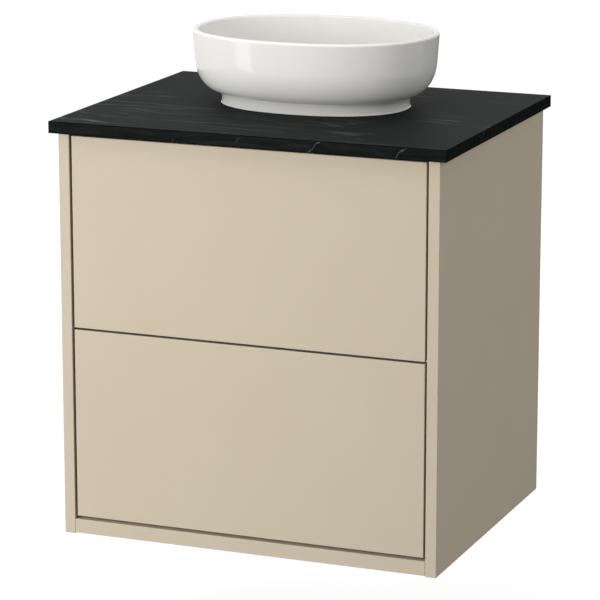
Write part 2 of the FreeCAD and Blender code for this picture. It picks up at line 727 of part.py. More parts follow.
def make_drawer(level):
    """One drawer: its front, its five-board box and the screws that hold them together."""
    floor = level + "_box_z"
    slide_middle = level + "_slide_z + slide_height / 2"
    blank = board(level + "_front_blank", ("2 * front_half", "front_thick", "front_height"),
                  ("-front_half", "cab_front + front_recess", level + "_front_z"), "front_ease")
    front_screws = [(sign + "(box_inner_half - front_screw_inset)", floor + " + " + high)
                    for sign in ("-", "") for high in ("box_height / 4", "3 * box_height / 4")]
    pilots, passages = [], []
    for number, (across, high) in enumerate(front_screws):
        name = "%s_front_pilot_%d" % (level, number)
        pilots.append(cylinder(name, "front_screw_dia / 2 + fit_clear",
                               "front_screw_bite + end_clear + overrun",
                               (across, "front_back - front_screw_bite - end_clear", high), "y"))
        passages.append(cylinder(name + "_passage", "front_screw_dia / 2 + fit_clear",
                                 "box_board + 2 * overrun", (across, "front_back - overrun", high), "y"))
    keep(level + "_drawer_front", cut(level + "_drawer_front", blank, pilots))

    box_heights = ("box_screw_inset", "box_height - box_screw_inset")
    box_depths = ("front_back + box_board / 2", "box_back - box_board / 2")
    side_holes, end_holes = [], []
    for number, deep in enumerate(box_depths):
        for step, rise in enumerate(box_heights):
            name = "%s_box_%d_%d" % (level, number, step)
            place = ("-box_half", deep, floor + " + " + rise)
            side_holes.append(cone(name + "_sink", "box_screw_head_dia / 2 + fit_clear",
                                   "box_screw_dia / 2 + fit_clear", "box_screw_head", place, "x"))
            side_holes.append(cylinder(name + "_passage", "box_screw_dia / 2 + fit_clear",
                                       "box_board + overrun", place, "x"))
            end_holes.append(cylinder(name + "_pilot", "box_screw_dia / 2 + fit_clear",
                                      "box_screw_length + end_clear", place, "x"))
    for number, deep in enumerate(SLIDE_SCREWS):
        side_holes.append(cylinder("%s_drawer_pilot_%d" % (level, number), "screw_dia / 2 + fit_clear",
                                   "screw_in_box + end_clear + overrun",
                                   ("-box_half - overrun", deep, slide_middle), "x"))
    groove_z = floor + " + base_lift - groove_clear"
    groove_high = "base_thick + 2 * groove_clear"
    side_holes.append(box(level + "_side_groove",
                          ("groove_depth + overrun", "box_depth + 2 * overrun", groove_high),
                          ("-box_inner_half - groove_depth", "front_back - overrun", groove_z)))
    blank = board(level + "_side_blank", ("box_board", "box_depth", "box_height"),
                  ("-box_half", "front_back", floor), "box_ease")
    label = level + "_drawer_left_side"
    left = keep(label, cut(label, blank, [fuse(level + "_side_tools", side_holes)]))
    keep(level + "_drawer_right_side", mirror(level + "_drawer_right_side", left))

    ends = both_sides(level + "_end_pilots", end_holes)
    groove = box(level + "_front_groove",
                 ("2 * box_inner_half + 2 * overrun", "groove_depth + overrun", groove_high),
                 ("-box_inner_half - overrun", "front_back + box_board - groove_depth", groove_z))
    blank = board(level + "_inner_front_blank", ("2 * box_inner_half", "box_board", "box_height"),
                  ("-box_inner_half", "front_back", floor), "box_ease")
    label = level + "_drawer_inner_front"
    keep(label, cut(label, blank, [ends, groove] + passages))

    base_top = "(base_lift + base_thick)"
    blank = board(level + "_back_blank", ("2 * box_inner_half", "box_board", "box_height - " + base_top),
                  ("-box_inner_half", "box_back - box_board", floor + " + " + base_top), "box_ease")
    keep(level + "_drawer_back", cut(level + "_drawer_back", blank, [ends]))
    tongue = "groove_depth - 2 * groove_clear"
    base = box(level + "_drawer_base",
               ("2 * box_inner_half + 2 * (%s)" % tongue, "box_depth - box_board + " + tongue,
                "base_thick"),
               ("-box_inner_half - (%s)" % tongue, "front_back + box_board - (%s)" % tongue,
                floor + " + base_lift"))
    keep(level + "_drawer_base", base)

    raised = screw(value("front_screw_head_dia / 2"), value("front_screw_head"),
                   value("front_screw_dia / 2"), value("box_board + front_screw_bite"), False)
    screw_group(level + "_front_screws", [(raised, (across, "front_back + box_board", high), -AXES["y"])
                                          for across, high in front_screws])
    box_screw = screw(value("box_screw_head_dia / 2"), value("box_screw_head"), value("box_screw_dia / 2"),
                      value("box_screw_length"), True)
    slide_screw = screw(value("screw_head_dia / 2"), value("slide_steel"), value("screw_dia / 2"),
                        value("slide_steel + screw_in_box"), True)
    placed = []
    for sign, direction in (("-", AXES["x"]), ("", -AXES["x"])):
        placed += [(box_screw, (sign + "box_half", deep, floor + " + " + rise), direction)
                   for deep in box_depths for rise in box_heights]
        placed += [(slide_screw, (sign + "(box_half + slide_steel)", deep, slide_middle), direction)
                   for deep in SLIDE_SCREWS]
    screw_group(level + "_drawer_screws", placed)


def make_latches():
    """Push-to-open latches behind the drawer sides: fixed housings with pegs, and sliding plungers."""
    housings = []
    across = "-box_half + box_board / 2"
    for level in LEVELS:
        high = level + "_box_z + latch_rise"
        block = box(level + "_latch_block", ("latch_width", "latch_back - latch_front", "latch_height"),
                    ("-inner_half", "latch_front", high + " - latch_height / 2"))
        pegs = [cylinder("%s_latch_peg_%d" % (level, number), "peg_dia / 2", "peg_length + latch_wall",
                         ("-inner_half - peg_length", deep, high), "x")
                for number, deep in enumerate(LATCH_PEGS)]
        bore = cylinder(level + "_latch_bore", "plunger_dia / 2 + plunger_clear",
                        "latch_back - latch_front - latch_wall / 2 + overrun",
                        (across, "latch_front - overrun", high), "y")
        housings.append(cut(level + "_latch_housing", fuse(level + "_latch_blank", [block] + pegs), [bore]))
        plunger = cylinder(level + "_plunger", "plunger_dia / 2", "plunger_length",
                           (across, "plunger_tip", high), "y")
        keep(level + "_push_plungers", both_sides(level + "_push_plungers", [plunger]))
    keep("push_latch_housings", both_sides("push_latch_housings", housings))


def oval(inset, high):
    """Basin outline, an oval drawn in by inset: |x/a|^p + |y/b|^p = 1 with p a little over 2."""
    half_wide = value("basin_width / 2") - inset
    half_deep = value("basin_depth / 2") - inset
    power = 1 / (1 + value("basin_square_share"))
    points = []
    for step in range(OUTLINE_POINTS):
        angle = 2 * math.pi * step / OUTLINE_POINTS
        across, along = math.cos(angle), math.sin(angle)
        points.append(Vector(math.copysign(abs(across) ** power, across) * half_wide,
                             math.copysign(abs(along) ** power, along) * half_deep, high))
    curve = Part.BSplineCurve()
    curve.interpolate(points, PeriodicFlag=True)
    return Part.Wire([curve.toShape()])


def stacked(runs):
    """Solids between oval sections, fused one above the other: two sections make a straight run."""
    solids = [Part.makeLoft([oval(*pair) for pair in run], True, len(run) == 2) for run in runs]
    return solids[0].multiFuse(solids[1:])


def make_basin():
    """Oval basin: near-upright wall with a round rim, a large lower corner, an inset foot and a bowl."""
    height = value("basin_height")
    wall = value("basin_wall")
    draft = value("basin_draft")
    reach = value("corner_reach")
    rise = value("corner_rise")
    foot = value("foot_height")
    floor = value("bowl_floor")
    bowl = value("bowl_radius")
    land = value("rim_land")
    rounding = (wall - land) / 2
    turns = [math.radians(angle) for angle in (0, 22.5, 45, 67.5, 90)]
    top = height - rounding
    shell = stacked([
        [(draft + reach * (1 - math.sin(turn)), foot + rise * (1 - math.cos(turn))) for turn in turns],
        [(draft, foot + rise), (0, top)],
        [(rounding * (1 - math.cos(turn)), top + rounding * math.sin(turn)) for turn in turns],
    ])
    cavity = stacked([
        [(value("bowl_flat_inset"), floor - value("bowl_fall")), (wall + draft + bowl, floor)],
        [(wall + draft + bowl * (1 - math.sin(turn)), floor + bowl * (1 - math.cos(turn)))
         for turn in turns],
        [(wall + draft, floor + bowl), (wall, top)],
        [(wall - rounding * (1 - math.cos(turn)), top + rounding * math.sin(turn)) for turn in turns],
    ])
    inset = value("foot_inset")
    under_floor = floor - value("floor_thick")
    plinth = Part.makeLoft([oval(inset - value("foot_flare"), 0), oval(inset, foot),
                            oval(inset, foot + value("floor_thick") / 3)], True, True)
    hollow = Part.Face(oval(inset + value("foot_wall"), 0)).extrude(Vector(0, 0, under_floor))
    recess = Part.makeCylinder(value("flange_dia / 2 + flange_side_clear"), floor,
                               Vector(0, 0, floor - value("bowl_fall") - value("flange_recess")))
    hole = Part.makeCylinder(value("waste_hole_dia / 2"), height)
    basin = doc.addObject("Part::Feature", "basin")
    basin.Shape = shell.fuse(plinth).cut(cavity).cut(hollow).cut(recess).cut(hole).removeSplitter()
    bind(basin, {}, ("0", "basin_back", "top_z"))
    keep("basin", basin)


def make_waste():
    """Basin waste: flanged threaded body, plug and its stem guide, seals and the nut under the worktop."""
    at = ("0", "basin_back")
    tube = "waste_dia / 2"
    bore = "waste_dia / 2 - waste_wall"
    mouth = "plug_dia / 2 + plug_clear"
    brim = "waste_rise + flange_thick"
    body = turned("waste_tube", [(bore, "0"), (tube, "0"), (tube, "waste_rise"),
                                 ("flange_dia / 2", "waste_rise"),
                                 ("flange_dia / 2", "waste_rise + flange_thick / 2"),
                                 ("flange_dia / 2 - flange_thick", brim), (mouth, brim),
                                 (mouth, "seat_rise"), (bore, "seat_rise")], at + ("waste_end_z",))
    keep("waste_body", body)
    guide_z = "waste_end_z + guide_height"
    span = "waste_dia - 2 * waste_wall - 2 * pipe_fit"
    arms = [box("guide_arm_across", (span, "arm_width", "arm_height"),
                ("-(%s) / 2" % span, "basin_back - arm_width / 2", guide_z)),
            box("guide_arm_along", ("arm_width", span, "arm_height"),
                ("-arm_width / 2", "basin_back - (%s) / 2" % span, guide_z)),
            cylinder("guide_boss", "guide_dia / 2", "guide_length", at + (guide_z,), "z")]
    guide_bore = cylinder("guide_bore", "stem_dia / 2 + stem_clear", "guide_length + 2 * overrun",
                          at + (guide_z + " - overrun",), "z")
    keep("stem_guide", cut("stem_guide", fuse("stem_guide_blank", arms), [guide_bore]))
    plug_top = "stem_length + plug_thick"
    plug = turned("waste_plug", [("0", "0"), ("stem_dia / 2", "0"), ("stem_dia / 2", "stem_length"),
                                 ("plug_dia / 2", "stem_length"),
                                 ("plug_dia / 2", plug_top + " - plug_chamfer"),
                                 ("plug_dia / 2 - plug_chamfer", plug_top), ("0", plug_top)],
                  at + ("waste_end_z + seat_rise - stem_length",))
    keep("waste_plug", plug)
    upper_seal = ring("flange_seal", "flange_dia / 2", "waste_hole_dia / 2", "seal_thick", at + ("seal_z",))
    washer = ring("worktop_washer", "washer_dia / 2", "waste_dia / 2 + pipe_fit", "washer_thick",
                  at + ("cab_height - washer_thick",))
    keep("waste_seals", compound("waste_seals", [upper_seal, washer]))
    nut_z = "cab_height - washer_thick - nut_thick"
    blank = prism("waste_nut_blank", 6, "nut_dia / 2", "nut_thick", at + (nut_z,), "z")
    thread = cylinder("waste_nut_bore", "waste_dia / 2 + pipe_fit", "nut_thick + 2 * overrun",
                      at + (nut_z + " - overrun",), "z")
    keep("waste_nut", cut("waste_nut", blank, [thread]))


def bend(label, radius, place, first, second):
    """A quarter of a torus in the YZ plane, running from the first direction to the second."""
    item = doc.addObject("Part::Torus", label)
    item.Angle3 = 90
    item.Placement.Rotation = Rotation(first, second, first.cross(second), "XYZ")
    return bind(item, {"Radius1": "bend_radius", "Radius2": radius}, place)


def bent_pipe(label, outer_only, build):
    """A pipe from two fused runs of the same pieces: the outer wall, bored with the inner radius."""
    outside = fuse(label + "_outside", build(label + "_out", "pipe_dia / 2") + outer_only)
    inside = fuse(label + "_inside", build(label + "_in", "pipe_dia / 2 - pipe_wall"))
    return keep(label, cut(label, outside, [inside]))


def inlet_run(label, radius):
    """Straight down from the waste, a quarter bend, then level towards the wall."""
    return [cylinder(label + "_drop", radius, "pipe_stub", ("0", "basin_back", "bend_z"), "z"),
            bend(label + "_bend", radius, ("0", "pipe_y", "bend_z"), -AXES["y"], -AXES["z"]),
            cylinder(label + "_level", radius, "union_y - pipe_y", ("0", "pipe_y", "pipe_z"), "y")]


def rear_run(label, radius):
    """Level from the union, a quarter bend, then down into the bottle."""
    return [cylinder(label + "_level", radius, "pipe_end_y - union_y", ("0", "union_y", "pipe_z"), "y"),
            bend(label + "_bend", radius, ("0", "pipe_end_y", "pipe_z - bend_radius"),
                 AXES["y"], AXES["z"]),
            cylinder(label + "_drop", radius, "pipe_z - bend_radius - dip_z",
                     ("0", "bottle_y", "dip_z"), "z")]


def make_trap():
    """Space-saving trap: pipes under the worktop, a bottle near the wall and the outlet into it."""
    collar = ring("inlet_collar", "collar_dia / 2", "pipe_dia / 2 - pipe_wall", "collar_thick",
                  ("0", "basin_back", "waste_end_z - collar_thick"))
    bent_pipe("inlet_pipe", [collar], inlet_run)
    bent_pipe("rear_pipe", [], rear_run)
    outer = "bottle_dia / 2"
    inner = "bottle_dia / 2 - bottle_wall"
    throat = "pipe_dia / 2 + pipe_fit"
    body = turned("bottle_body", [(inner, "0"), (outer, "0"), (outer, "bottle_body_height"),
                                  (throat, "bottle_body_height"),
                                  (throat, "bottle_body_height - bottle_wall"),
                                  (inner, "bottle_body_height - bottle_wall")],
                  ("0", "bottle_y", "bottle_seam_z"))
    outlet_z = "bottle_seam_z + bottle_body_height / 2 + bottle_wall"
    boss = cylinder("outlet_boss", "outlet_dia / 2 + bottle_wall", "wall_y - outlet_boss_gap - bottle_y",
                    ("0", "bottle_y", outlet_z), "y")
    socket = cylinder("outlet_socket", "outlet_dia / 2 - spigot_step + pipe_fit", "wall_y - bottle_y",
                      ("0", "bottle_y", outlet_z), "y")
    core = cylinder("bottle_core", inner, "bottle_body_height - bottle_wall",
                    ("0", "bottle_y", "bottle_seam_z"), "z")
    keep("trap_body", cut("trap_body", fuse("trap_body_blank", [body, boss]),
                          [fuse("trap_body_space", [socket, core])]))
    cup = turned("trap_cup", [("0", "0"), (outer, "0"), (outer, "bottle_cup_height"),
                              (inner, "bottle_cup_height"), (inner, "bottle_wall"), ("0", "bottle_wall")],
                 ("0", "bottle_y", "cup_z"))
    keep("trap_cup", cup)
    start = ("0", "wall_y - outlet_length", outlet_z)
    spigot = cylinder("outlet_spigot", "outlet_dia / 2 - spigot_step", "outlet_length", start, "y")
    stub = cylinder("outlet_stub", "outlet_dia / 2", "outlet_boss_gap",
                    ("0", "wall_y - outlet_boss_gap", outlet_z), "y")
    hollow = cylinder("outlet_inside", "outlet_dia / 2 - spigot_step - pipe_wall", "outlet_length",
                      start, "y")
    keep("outlet_pipe", cut("outlet_pipe", fuse("outlet_blank", [spigot, stub]), [hollow]))

    lip_z = "waste_end_z - collar_thick - inlet_nut_lip"
    at = ("0", "basin_back")
    inlet = cut("inlet_nut", prism("inlet_nut_blank", 8, "inlet_nut_dia / 2",
                                   "inlet_nut_lip + collar_thick + inlet_nut_cover", at + (lip_z,), "z"),
                [fuse("inlet_nut_space",
                      [cylinder("inlet_nut_throat", throat, "inlet_nut_lip + 2 * overrun",
                                at + (lip_z + " - overrun",), "z"),
                       cylinder("inlet_nut_thread", "waste_dia / 2 + pipe_fit", "waste_drop",
                                at + ("waste_end_z - collar_thick",), "z")])])
    union_start = "union_y - pipe_nut_length / 2"
    union = cut("union_nut", prism("union_nut_blank", 8, "pipe_nut_dia / 2", "pipe_nut_length",
                                   ("0", union_start, "pipe_z"), "y"),
                [cylinder("union_nut_bore", throat, "pipe_nut_length + 2 * overrun",
                          ("0", union_start + " - overrun", "pipe_z"), "y")])
    neck = cut("neck_nut", prism("neck_nut_blank", 8, "pipe_nut_dia / 2", "pipe_nut_length",
                                 ("0", "bottle_y", "bottle_top_z"), "z"),
               [cylinder("neck_nut_bore", throat, "pipe_nut_length + 2 * overrun",
                         ("0", "bottle_y", "bottle_top_z - overrun"), "z")])
    seam = ring("seam_nut", "bottle_ring_dia / 2", "bottle_dia / 2 + pipe_fit", "bottle_ring_height",
                ("0", "bottle_y", "bottle_seam_z - bottle_ring_height / 2"))
    keep("trap_nuts", compound("trap_nuts", [inlet, union, neck, seam]))


def write_parts():
    """Check every object, then write each sub-part to its own file."""
    doc.recompute()
    broken = [item.Label for item in doc.Objects if {"Invalid", "Error"} & set(item.State)]
    if broken:
        raise RuntimeError("objects failed: " + ", ".join(broken))
    for label, item in nodes.items():
        shape = item.Shape
        if shape.isNull() or not shape.isValid() or not shape.Solids:
            raise RuntimeError("sub-part is not a valid solid: " + label)
    os.makedirs("parts", exist_ok=True)
    for label, item in nodes.items():
        solids = item.Shape.Solids
        shape = solids[0] if len(solids) == 1 else Part.makeCompound(solids)
        shape.exportStep("parts/%s.step" % label)
    print("wrote", len(nodes), "sub-parts")


fill_sheets()
make_carcass()
make_worktop()
make_runners()
for drawer_level in LEVELS:
    make_drawer(drawer_level)
make_latches()
make_basin()
make_waste()
make_trap()
write_parts()
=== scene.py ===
import json
import math

import bmesh
import bpy
import numpy as np
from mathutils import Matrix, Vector


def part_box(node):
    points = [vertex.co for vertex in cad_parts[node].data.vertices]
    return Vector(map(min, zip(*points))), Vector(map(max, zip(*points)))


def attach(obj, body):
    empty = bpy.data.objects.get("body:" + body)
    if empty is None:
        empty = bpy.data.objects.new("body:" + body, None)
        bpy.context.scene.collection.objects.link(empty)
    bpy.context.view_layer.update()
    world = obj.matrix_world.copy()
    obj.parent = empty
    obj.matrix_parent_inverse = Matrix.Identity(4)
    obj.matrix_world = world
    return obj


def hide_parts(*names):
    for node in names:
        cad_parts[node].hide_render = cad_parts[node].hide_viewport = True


# Looks of a vanity unit: a finish for every solid, eight pieces shaped again over theirs, and a studio
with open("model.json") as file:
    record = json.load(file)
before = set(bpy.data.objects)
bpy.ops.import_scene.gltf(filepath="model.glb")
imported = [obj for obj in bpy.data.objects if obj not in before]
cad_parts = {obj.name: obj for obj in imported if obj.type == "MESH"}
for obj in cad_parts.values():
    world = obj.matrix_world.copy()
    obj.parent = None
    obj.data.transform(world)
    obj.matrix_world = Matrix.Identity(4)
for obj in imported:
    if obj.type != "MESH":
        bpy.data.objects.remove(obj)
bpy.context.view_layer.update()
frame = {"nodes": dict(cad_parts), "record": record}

MM = 0.001

# Camera: place and reach in metres, turn and tilt in degrees, lens and sensor in millimetres
CAMERA_PLACE = (1.7268, -4.3417, 1.4600)
CAMERA_TURN = 21.787
CAMERA_TILT = 13.522
CAMERA_LENS = 188.75
CAMERA_SENSOR = 36.0
CAMERA_REACH = 100.0

# Floor, below a unit that hangs on a wall: lengths in metres, and the strength of its glow at two distances
FLOOR_COLOUR = "A0A0A0"
FLOOR_DROP = 0.25
FLOOR_HALF = 9.0
GLOW_COLOUR = "FFFFFF"
GLOW_NEAR_AT = 1.7
GLOW_FAR_AT = 3.8
GLOW_NEAR = 0.74
GLOW_FAR = 0.91

# Grey card behind the unit and to its right, for mirrors only: lengths in metres
CARD_COLOUR = "7C7C7C"
CARD_DEEP = 1.5
CARD_LEFT = -0.45
CARD_RIGHT = 1.7
CARD_LOW = -0.2
CARD_HIGH = 0.55

# Light: the room and the background have strengths without a unit, lamps have metres and watts
ROOM_COLOUR = "FFFFFF"
ROOM_LIGHT = 0.27
BACKGROUND_LIGHT = 1.0
LAMP_AIM = (0, 0, 0.45)
SOFTBOXES = {
    "key_softbox": {"place": (-1.55, -3.0, 0.9), "size": (2.0, 1.4), "power": 88},
    "top_softbox": {"place": (-0.2, -0.5, 2.8), "size": (2.0, 2.0), "power": 36},
    "side_softbox": {"place": (2.7, 0.0, 1.6), "size": (1.6, 1.6), "power": 20},
    "back_softbox": {"place": (-0.6, 3.2, 1.3), "size": (1.8, 1.8), "power": 36},
}
STRIP_PLACE = (-1.68, -1.59, 0.4)
STRIP_AIM = (-0.06, -0.1, 0.4)
STRIP_SIZE = (0.56, 1.2)
STRIP_POWER = 11

# Basin, measured like the solid it stands for: lengths in millimetres, angles in radians, powers and counts
BASIN_POWER = 1 / 1.1
BASIN_TURNS = 288
BASIN_WALL = 9.0
WALL_LEAN = math.radians(4.1)
BEND_START = math.radians(3)
BEND_EASE = 1.5
BEND_STEPS = 49
BOWL_INSET = 50.2
BOWL_FLOOR = 26.0
BOWL_FALL = 1.5
BOWL_FLAT_INSET = 90.0
FLOOR_UNDER = 14.0
FOOT_HEIGHT = 17.4
FOOT_INSET = 43.0
FOOT_FLARE = 1.2
FOOT_FLARE_RISE = 3.0
FOOT_FLARE_POWER = 4
FOOT_FLARE_STEPS = 17
FOOT_WALL = 12.0
RIM_LAND = 1.0
RIM_RISE = 4.0
RIM_OUTER_STEPS = 27
RIM_INNER_STEPS = 25
RECESS_RADIUS = 32.1
RECESS_DEPTH = 2.5
DRAIN_RADIUS = 22.5
EDGE = 0.5

# Points nearer to each other than this, in millimetres, are welded into one
WELD_GAP = 0.002

# Turned pieces: sizes in millimetres, where an ease is the length that a round edge takes off both its sides
TURNED_STEPS = 192
EASE = 0.4
EASE_STEPS = 5
PLUG_HEAD = 5.5
PLUG_SAG = 1.7
PLUG_STEM_RADIUS = 4.0
PLUG_EASE = 0.6
DOME_STEPS = 14
WASTE_BORE = 17.45
WASTE_TUBE = 20.95
FLANGE_THICKNESS = 2.5
FLANGE_EDGE = 1.2
FLANGE_CROWN = 29.0
FLANGE_EASE = 1.2
SEAT_RADIUS = 19.4
SEAT_DEPTH = 5.0
SEAT_FALL = 0.4
NUT_RIBS = 28
NUT_RIB_DEPTH = 0.9
NUT_RIB_POWER = 4
NUT_EASE = 1.4
NUT_CLEARANCE = 0.15
NUT_WALL = 5.6
NUT_HEIGHT = 20.0
SEAM_NUT_WALL = 4.4
SEAM_NUT_HEIGHT = 18.0
INLET_NUT_RADIUS = 25.9
INLET_NUT_MOUTH = 21.1
INLET_NUT_HEIGHT = 15.5
INLET_NUT_WEB = 3.5
CUP_WALL = 2.5
CUP_ROUND = 7.0


def linear(code):
    """Linear colour with full alpha from an sRGB hex code."""
    parts = np.array([int(code[at:at + 2], 16) for at in (0, 2, 4)]) / 255
    parts = np.where(parts <= 0.04045, parts / 12.92, ((parts + 0.055) / 1.055) ** 2.4)
    return (*parts.tolist(), 1.0)


def join(tree, node, links):
    """Link each source, a node's first output or a named output, to an input of the node."""
    for name, source in links.items():
        output = source.outputs[0] if isinstance(source, bpy.types.Node) else source
        tree.links.new(output, node.inputs[name])


def add(tree, kind, settings=None, links=None):
    """Add one shader node, set its sockets and properties, and link sources to its inputs."""
    node = tree.nodes.new("ShaderNode" + kind)
    for name, setting in (settings or {}).items():
        if isinstance(name, int) or name in node.inputs:
            node.inputs[name].default_value = setting
        else:
            setattr(node, name, setting)
    join(tree, node, links or {})
    return node


def start_material(name, **sockets):
    """A material with a principled shader, returned with its tree, shader and object coordinates."""
    material = bpy.data.materials.new(name)
    material.use_nodes = True
    tree = material.node_tree
    shader = tree.nodes["Principled BSDF"]
    for socket, setting in sockets.items():
        shader.inputs[socket.replace("_", " ")].default_value = setting
    place = add(tree, "TexCoord").outputs["Object"]
    return material, tree, shader, place


def foil_board():
    """Board wrapped in matt beige foil: an even soft colour, a slow waviness of the board below and a
    fine pressed grain, with painted shade that darkens the colour in the narrow seams. The real grain is
    about
    0.4 mm and is drawn at 1.6 mm so that it shows."""
    material, tree, shader, place = start_material("matt_beige_foil", Specular_IOR_Level=0.02)
    cloud = add(tree, "TexNoise", {"Scale": 1 / (140 * MM), "Detail": 2.0}, {"Vector": place})
    tone = add(tree, "MixRGB", {"Color1": linear("C9BEAA"), "Color2": linear("C5B9A4")}, {"Fac": cloud})
    grain = add(tree, "TexNoise", {"Scale": 1 / (1.6 * MM), "Detail": 2.0}, {"Vector": place})
    gloss = add(tree, "MapRange", {"To Min": 0.74, "To Max": 0.86}, {"Value": grain})
    press = add(tree, "Bump", {"Strength": 0.12, "Distance": 0.05 * MM}, {"Height": grain})
    wave = add(tree, "Bump", {"Strength": 0.15, "Distance": 0.4 * MM}, {"Height": cloud, "Normal": press})
    # Painted shade: ambient occlusion darkens the foil colour within 4 mm of other surfaces, in seams and
    # gaps
    painted_seam_shade = add(tree, "AmbientOcclusion", {"samples": 4, "Distance": 4 * MM}, {"Color": tone})
    join(tree, shader, {"Base Color": painted_seam_shade, "Roughness": gloss, "Normal": wave})
    return material


def laminate_top(tree, place):
    """Colour of the laminate's top: charcoal streaks drawn out along it, and pale threads and veins that
    meander between them and gather in patches. Returned with the streaks and their cloudy share."""
    warp = add(tree, "TexNoise", {"Scale": 1 / (150 * MM), "Detail": 2.0}, {"Vector": place})
    sway = add(tree, "VectorMath", {"operation": "MULTIPLY_ADD", 1: (30 * MM, 55 * MM, 20 * MM)},
               {0: warp.outputs["Color"], 2: place})
    drawn = add(tree, "Mapping", {"Rotation": (0, 0, math.radians(-3)), "Scale": (0.035, 1, 1)},
                {"Vector": sway})
    streak = add(tree, "TexNoise", {"Scale": 1 / (8 * MM), "Detail": 4.0, "Roughness": 0.6},
                 {"Vector": drawn})
    cloud = add(tree, "MapRange", {"From Min": 0.4, "From Max": 0.7}, {"Value": streak})
    base = add(tree, "MixRGB", {"Color1": linear("181A19"), "Color2": linear("212423")}, {"Fac": cloud})
    thread = add(tree, "TexNoise", {"Scale": 1 / (3.5 * MM), "Detail": 1.0}, {"Vector": drawn})
    bright = add(tree, "MapRange", {"From Min": 0.64, "From Max": 0.84, "To Max": 0.8}, {"Value": thread})
    patch = add(tree, "TexNoise", {"Scale": 1 / (170 * MM), "Detail": 1.0}, {"Vector": place})
    gathered = add(tree, "MapRange", {"From Min": 0.42, "From Max": 0.62}, {"Value": patch})
    course = add(tree, "Mapping", {"Scale": (0.14, 1, 1)}, {"Vector": sway})
    field = add(tree, "TexNoise", {"Scale": 1 / (60 * MM), "Detail": 2.0}, {"Vector": course})
    ridge = add(tree, "Math", {"operation": "PINGPONG", 1: 0.5}, {0: field})
    crest = add(tree, "MapRange", {"From Min": 0.489, "From Max": 0.5, "To Max": 0.65}, {"Value": ridge})
    marks = add(tree, "Math", {"operation": "MAXIMUM"}, {0: bright, 1: crest})
    threads = add(tree, "Math", {"operation": "MULTIPLY"}, {0: marks, 1: gathered})
    top = add(tree, "MixRGB", {"Color2": linear("626665")}, {"Fac": threads, "Color1": base})
    return top, streak, cloud


def laminate_band(tree, place, cloud):
    """Colour of the laminate's edge band: darker, with a few thin broken veins that lean across it."""
    vein_spacing = 130 * MM
    vein_core, vein_edge = 0.1 * MM, 1.0 * MM
    vein_way = (1, 0.8, -1)
    wobble = add(tree, "TexNoise", {"Scale": 1 / (22 * MM), "Detail": 2.0}, {"Vector": place})
    swerve = add(tree, "MapRange", {"To Min": -16 * MM, "To Max": 16 * MM}, {"Value": wobble})
    across = add(tree, "VectorMath", {"operation": "DOT_PRODUCT", 1: vein_way}, {0: place})
    lean = add(tree, "Math", {"operation": "ADD"}, {0: across.outputs["Value"], 1: swerve})
    vein = add(tree, "TexVoronoi", {"voronoi_dimensions": "1D", "Scale": 1 / vein_spacing}, {"W": lean})
    line = add(tree, "MapRange", {"From Min": vein_core / vein_spacing, "From Max": vein_edge / vein_spacing,
                                  "To Min": 1.0, "To Max": 0.0}, {"Value": vein})
    fade = add(tree, "TexNoise", {"Scale": 1 / (40 * MM), "Detail": 1.0}, {"Vector": place})
    broken = add(tree, "MapRange", {"From Min": 0.46, "From Max": 0.6}, {"Value": fade})
    shown = add(tree, "Math", {"operation": "MULTIPLY"}, {0: line, 1: broken})
    band = add(tree, "MixRGB", {"Color1": linear("161817"), "Color2": linear("222524")}, {"Fac": cloud})
    return add(tree, "MixRGB", {"Color2": linear("545755")}, {"Fac": shown, "Color1": band})


def marble_laminate():
    """Black marble-look laminate, pressed matt: a charcoal top with faint pale veins, a dull darker edge band
    and a black joint line between the two. Only the top has a little sheen."""
    material, tree, shader, place = start_material("black_marble_laminate")
    top, streak, cloud = laminate_top(tree, place)
    band = laminate_band(tree, place, cloud)
    facing = add(tree, "SeparateXYZ", None, {"Vector": add(tree, "NewGeometry").outputs["Normal"]})
    upward = add(tree, "MapRange", {"From Min": 0.3, "From Max": 0.9}, {"Value": facing.outputs["Z"]})
    faces = add(tree, "MixRGB", None, {"Fac": upward, "Color1": band, "Color2": top})
    slant = add(tree, "Math", {"operation": "PINGPONG", 1: 0.5}, {0: facing.outputs["Z"]})
    joint = add(tree, "MapRange", {"From Max": 0.2, "To Max": 0.9}, {"Value": slant})
    tone = add(tree, "MixRGB", {"Color2": linear("020202")}, {"Fac": joint, "Color1": faces})
    gloss = add(tree, "MapRange", {"To Min": 0.5, "To Max": 0.65}, {"Value": streak})
    sheen = add(tree, "MapRange", {"To Max": 0.015}, {"Value": upward})
    join(tree, shader, {"Base Color": tone, "Roughness": gloss, "Specular IOR Level": sheen})
    return material


def sanitary_glaze():
    """Vitreous china under white glaze: bright and a little warm, a clear mirror on a faintly wavy skin."""
    material, tree, shader, place = start_material("white_sanitary_glaze", Specular_IOR_Level=0.16)
    wave = add(tree, "TexNoise", {"Scale": 1 / (45 * MM), "Detail": 1.0}, {"Vector": place})
    tone = add(tree, "MixRGB", {"Color1": linear("E6E5E1"), "Color2": linear("E3E2DE")}, {"Fac": wave})
    gloss = add(tree, "MapRange", {"To Min": 0.04, "To Max": 0.07}, {"Value": wave})
    skin = add(tree, "Bump", {"Strength": 0.05, "Distance": 0.4 * MM}, {"Height": wave})
    join(tree, shader, {"Base Color": tone, "Roughness": gloss, "Normal": skin})
    return material


